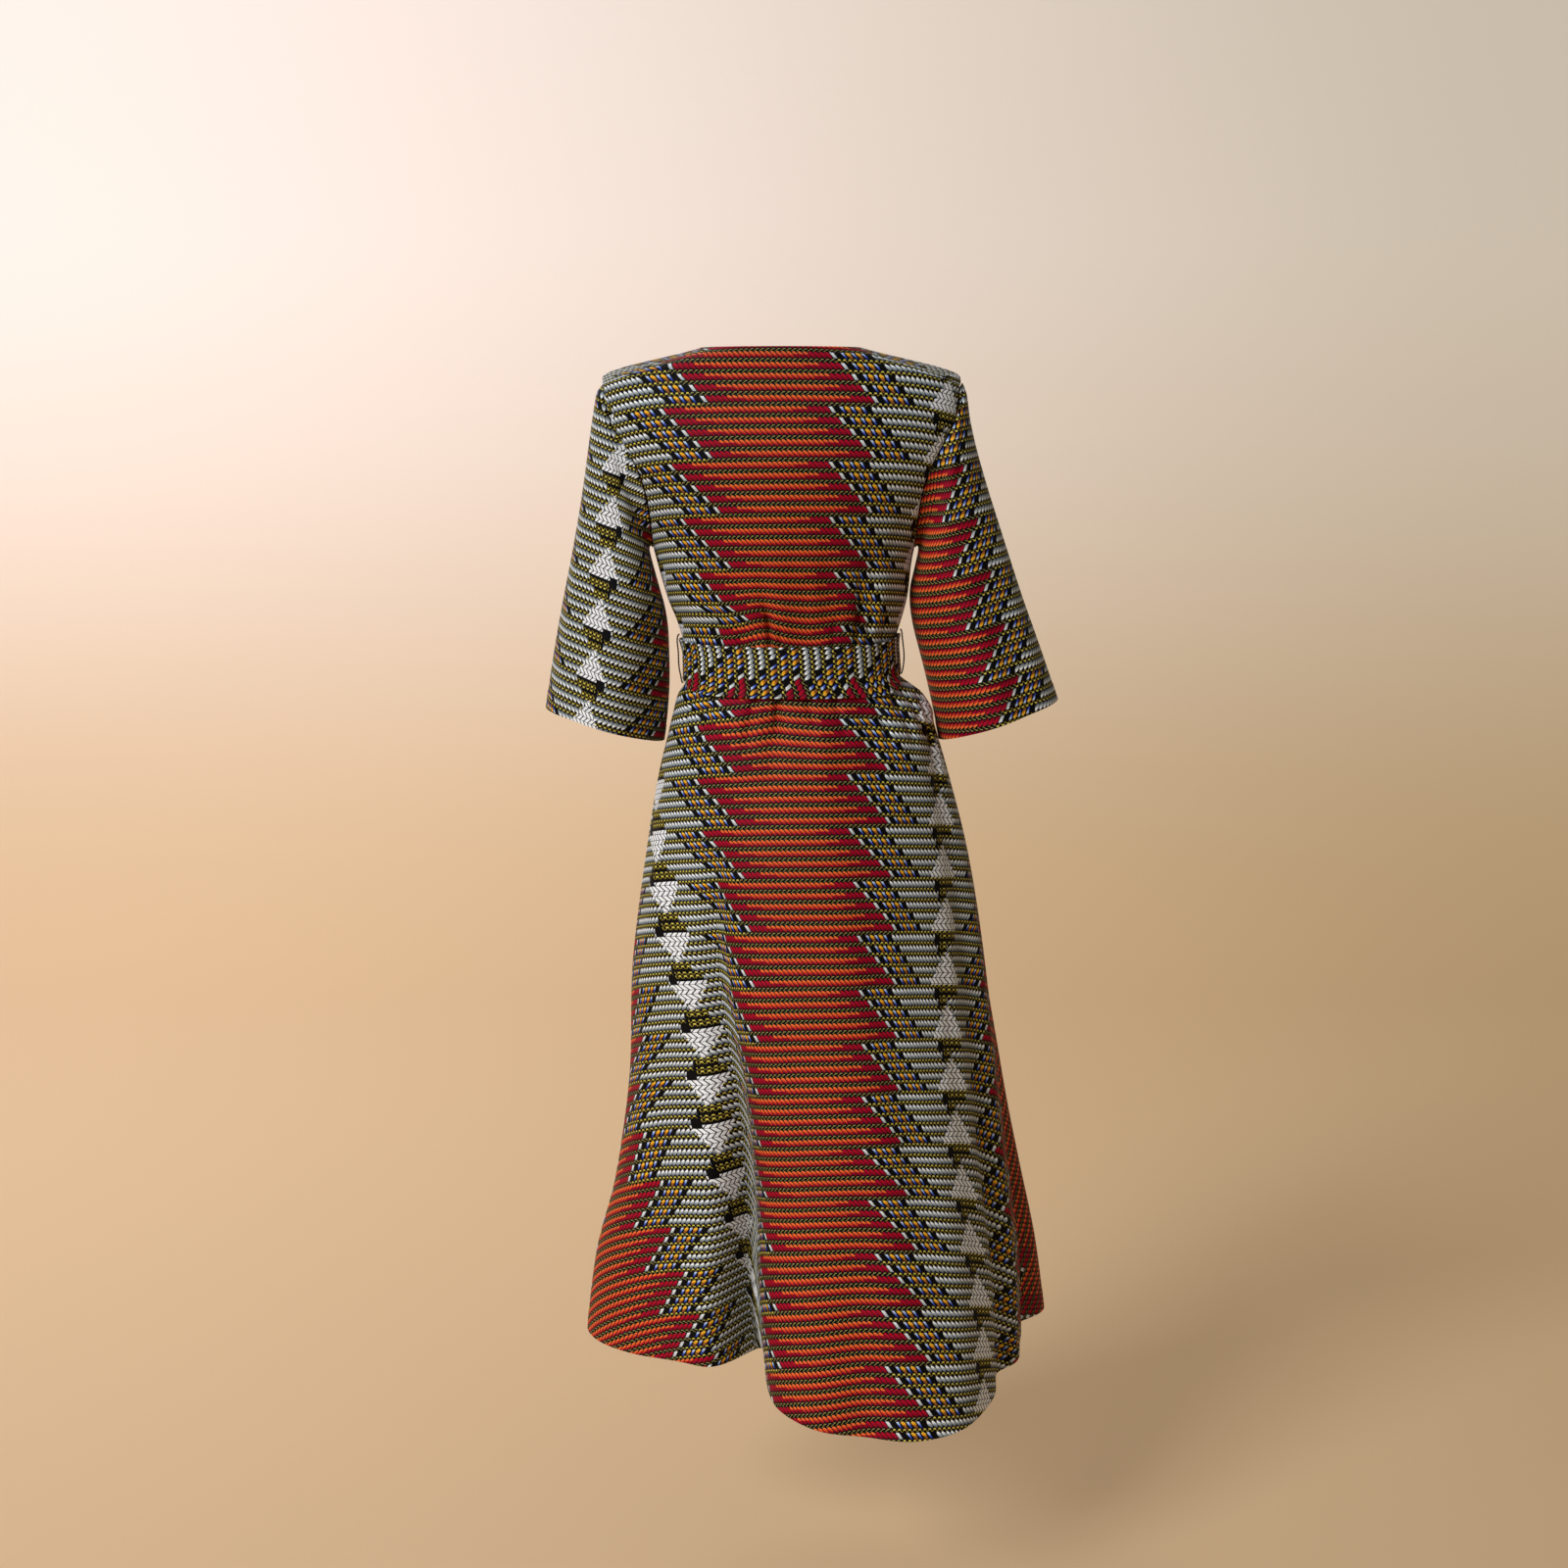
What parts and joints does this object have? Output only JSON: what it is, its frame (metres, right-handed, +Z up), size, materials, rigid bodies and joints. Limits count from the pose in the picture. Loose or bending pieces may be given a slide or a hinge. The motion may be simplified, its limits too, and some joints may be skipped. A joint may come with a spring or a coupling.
{
  "type": "african print coat",
  "caption": "Long collarless belted wrap coat in printed cotton, with set-in three-quarter flared sleeves and a full flared skirt, held in its worn form.",
  "frame": {"origin": "midway between the two neck points, at the height of the back neckline, where a wearer's shoulders hold the coat", "axes": "+Y is the way the wearer faces, so the back looks towards -Y; +X is the wearer's right; +Z is up"},
  "size_m": [0.6198, 0.4615, 1.2511],
  "materials": {
    "wax_print": "printed cotton, soft sheen",
    "dark_thread": "matt thread"
  },
  "bodies": {
    "root": {"back_panel": "wax_print", "left_front": "wax_print", "right_front": "wax_print", "left_sleeve": "wax_print", "right_sleeve": "wax_print", "belt": "wax_print", "belt_knot": "wax_print", "belt_end_left": "wax_print", "belt_end_right": "wax_print", "belt_loop_left": "dark_thread", "belt_loop_right": "dark_thread"}
  },
  "joints": []
}
